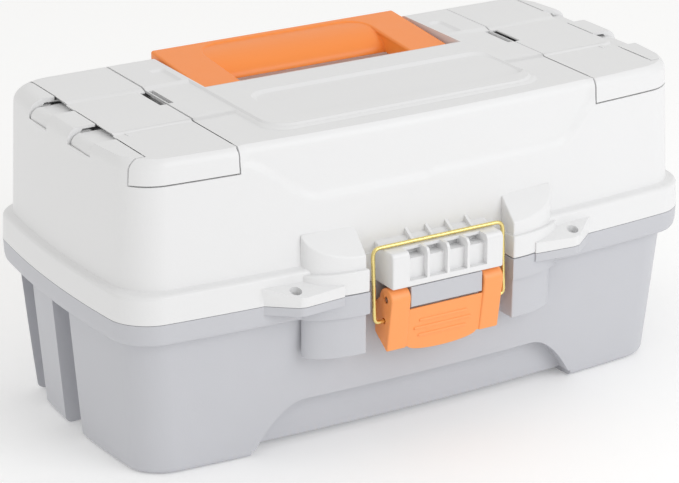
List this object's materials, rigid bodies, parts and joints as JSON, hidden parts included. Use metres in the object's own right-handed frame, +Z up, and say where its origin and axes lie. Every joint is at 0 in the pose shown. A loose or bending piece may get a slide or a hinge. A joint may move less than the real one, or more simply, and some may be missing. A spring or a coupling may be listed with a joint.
{
  "type": "fishing tackle box",
  "caption": "Hard plastic tackle box with a hinged lid, cantilever tray, lid-top storage doors, fold-flat carry handle and a lever latch with a wire bail.",
  "frame": {"origin": "on the floor under the middle of the closed box", "axes": "+X along the length, to the right of a person facing the latch, +Y from the latch to the rear hinge, +Z up"},
  "size_m": [0.3622, 0.1996, 0.1804],
  "materials": {
    "gray_plastic": "fine moulded texture",
    "white_plastic": "fine moulded texture",
    "orange_plastic": "satin moulded",
    "tray_plastic": "satin moulded",
    "brass_wire": "drawn wire",
    "steel_pin": "drawn"
  },
  "bodies": {
    "base": {"base_tub": "gray_plastic", "latch_pin": "steel_pin", "left_hinge_pin": "steel_pin", "right_hinge_pin": "steel_pin", "left_arm_base_pin": "steel_pin", "right_arm_base_pin": "steel_pin"},
    "lid": {"lid_shell": "white_plastic", "left_door_pin": "steel_pin", "right_door_pin": "steel_pin", "left_handle_pin": "steel_pin", "right_handle_pin": "steel_pin", "left_tray_lid_pin": "steel_pin", "right_tray_lid_pin": "steel_pin"},
    "left_lid_door": {"left_door": "white_plastic"},
    "right_lid_door": {"right_door": "white_plastic"},
    "handle": {"carry_handle": "orange_plastic"},
    "lever": {"latch_lever": "orange_plastic"},
    "bail": {"latch_bail": "brass_wire"},
    "tray": {"cantilever_tray": "tray_plastic", "tray_divider_1": "tray_plastic", "tray_divider_2": "tray_plastic", "tray_divider_3": "tray_plastic", "tray_divider_4": "tray_plastic", "tray_divider_5": "tray_plastic", "tray_divider_6": "tray_plastic", "left_arm_tray_pin": "steel_pin", "right_arm_tray_pin": "steel_pin"},
    "left_arm": {"left_swing_arm": "gray_plastic"},
    "right_arm": {"right_swing_arm": "gray_plastic"}
  },
  "joints": [
    {"name": "lid_hinge", "type": "hinge", "parent": "base", "child": "lid", "pos_m": [0, 0.095, 0.0913], "axis": [-1, 0, 0], "range_deg": [0, 110]},
    {"name": "left_door_hinge", "type": "hinge", "parent": "lid", "child": "left_lid_door", "pos_m": [-0.1665, 0, 0.169], "axis": [0, -1, 0], "range_deg": [0, 110]},
    {"name": "right_door_hinge", "type": "hinge", "parent": "lid", "child": "right_lid_door", "pos_m": [0.1665, 0, 0.169], "axis": [0, 1, 0], "range_deg": [0, 110]},
    {"name": "handle_pivot", "type": "hinge", "parent": "lid", "child": "handle", "pos_m": [0, 0.0271, 0.1693], "axis": [1, 0, 0], "range_deg": [0, 90]},
    {"name": "latch_lever_pivot", "type": "hinge", "parent": "base", "child": "lever", "pos_m": [0, -0.0935, 0.0843], "axis": [-1, 0, 0], "range_deg": [0, 100]},
    {"name": "bail_pivot", "type": "hinge", "parent": "lever", "child": "bail", "pos_m": [0, -0.0917, 0.0718], "axis": [-1, 0, 0], "range_deg": [-150, 0]},
    {"name": "tray_pivot", "type": "hinge", "parent": "lid", "child": "tray", "pos_m": [0, 0.047, 0.1033], "axis": [-1, 0, 0], "range_deg": [-110, 0]},
    {"name": "left_arm_pivot", "type": "hinge", "parent": "base", "child": "left_arm", "pos_m": [-0.156, 0.065, 0.0858], "axis": [-1, 0, 0], "range_deg": [0, 110]},
    {"name": "right_arm_pivot", "type": "hinge", "parent": "base", "child": "right_arm", "pos_m": [0.156, 0.065, 0.0858], "axis": [-1, 0, 0], "range_deg": [0, 110]}
  ],
  "couplings": [
    {"joint": "bail_pivot", "follows": "latch_lever_pivot", "ratio": -1.5},
    {"joint": "tray_pivot", "follows": "lid_hinge", "ratio": -1},
    {"joint": "left_arm_pivot", "follows": "lid_hinge", "ratio": 1},
    {"joint": "right_arm_pivot", "follows": "lid_hinge", "ratio": 1}
  ]
}
